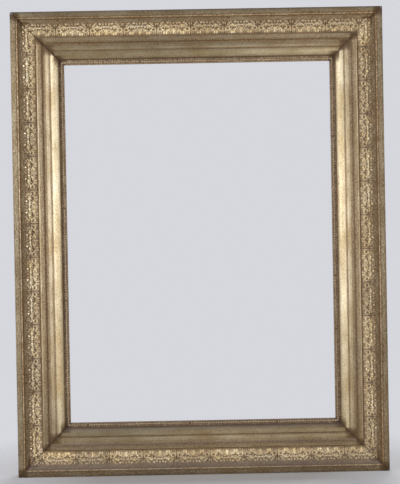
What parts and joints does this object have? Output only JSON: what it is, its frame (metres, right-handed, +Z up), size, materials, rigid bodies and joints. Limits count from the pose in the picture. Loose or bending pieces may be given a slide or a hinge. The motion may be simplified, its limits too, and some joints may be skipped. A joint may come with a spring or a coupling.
{
  "type": "picture frame",
  "caption": "Upright gilded picture frame: rounded outer rail, deep cove with a leafy scroll frieze, wide ovolo and beaded sight edge; ring hangers and turn buttons behind.",
  "frame": {"origin": "middle of the lower edge of the frame's flat back, so the back plane is y = 0 and the underside z = 0", "axes": "+Z up, +Y from the front towards the wall, +X to the right as seen from the front"},
  "size_m": [0.813, 0.0666, 1.017],
  "materials": {
    "pine_board": "bare pine, browned with age",
    "key_wood": "bare hardwood, planed",
    "gilded_moulding": "water-gilded wood, burnished, worn to red bole at the edges",
    "gilded_composition": "gilded pressed composition, toned in the hollows",
    "gilded_slip": "matt gilding over red bole",
    "zinc_plated_steel": "dull zinc plate",
    "screw_steel": "plain steel",
    "button_brass": "tarnished brass"
  },
  "bodies": {
    "frame": {"rail_bottom": "pine_board", "rail_left": "pine_board", "rail_right": "pine_board", "rail_top": "pine_board", "outer_moulding_bottom": "gilded_moulding", "outer_moulding_left": "gilded_moulding", "outer_moulding_right": "gilded_moulding", "outer_moulding_top": "gilded_moulding", "frieze_bottom": "gilded_composition", "frieze_left": "gilded_composition", "frieze_right": "gilded_composition", "frieze_top": "gilded_composition", "inner_moulding_bottom": "gilded_moulding", "inner_moulding_left": "gilded_moulding", "inner_moulding_right": "gilded_moulding", "inner_moulding_top": "gilded_moulding", "sight_slip_bottom": "gilded_slip", "sight_slip_left": "gilded_slip", "sight_slip_right": "gilded_slip", "sight_slip_top": "gilded_slip", "beads_bottom": "gilded_slip", "beads_left": "gilded_slip", "beads_right": "gilded_slip", "beads_top": "gilded_slip", "corner_key_bottom_left": "key_wood", "corner_key_bottom_right": "key_wood", "corner_key_top_left": "key_wood", "corner_key_top_right": "key_wood", "hanger_strap_left": "zinc_plated_steel", "hanger_strap_right": "zinc_plated_steel", "hanger_screws": "screw_steel", "turn_button_screws": "screw_steel"},
    "ring_left": {"hanger_ring_left": "zinc_plated_steel"},
    "ring_right": {"hanger_ring_right": "zinc_plated_steel"},
    "button_left_lower": {"turn_button_left_lower": "button_brass"},
    "button_left_upper": {"turn_button_left_upper": "button_brass"},
    "button_right_lower": {"turn_button_right_lower": "button_brass"},
    "button_right_upper": {"turn_button_right_upper": "button_brass"},
    "button_top_left": {"turn_button_top_left": "button_brass"},
    "button_top_right": {"turn_button_top_right": "button_brass"}
  },
  "joints": [
    {"name": "ring_left_swing", "type": "hinge", "parent": "frame", "child": "ring_left", "pos_m": [-0.3465, 0.0033, 0.74241], "axis": [1, 0, 0], "range_deg": [0, 180]},
    {"name": "ring_right_swing", "type": "hinge", "parent": "frame", "child": "ring_right", "pos_m": [0.3465, 0.0033, 0.74241], "axis": [1, 0, 0], "range_deg": [0, 180]},
    {"name": "button_left_lower_turn", "type": "hinge", "parent": "frame", "child": "button_left_lower", "pos_m": [-0.311, 0.0008, 0.2034], "axis": [0, -1, 0], "continuous": true},
    {"name": "button_left_upper_turn", "type": "hinge", "parent": "frame", "child": "button_left_upper", "pos_m": [-0.311, 0.0008, 0.55935], "axis": [0, -1, 0], "continuous": true},
    {"name": "button_right_lower_turn", "type": "hinge", "parent": "frame", "child": "button_right_lower", "pos_m": [0.311, 0.0008, 0.2034], "axis": [0, 1, 0], "continuous": true},
    {"name": "button_right_upper_turn", "type": "hinge", "parent": "frame", "child": "button_right_upper", "pos_m": [0.311, 0.0008, 0.55935], "axis": [0, 1, 0], "continuous": true},
    {"name": "button_top_left_turn", "type": "hinge", "parent": "frame", "child": "button_top_left", "pos_m": [-0.1505, 0.0008, 0.9215], "axis": [0, 1, 0], "continuous": true},
    {"name": "button_top_right_turn", "type": "hinge", "parent": "frame", "child": "button_top_right", "pos_m": [0.1505, 0.0008, 0.9215], "axis": [0, -1, 0], "continuous": true}
  ]
}
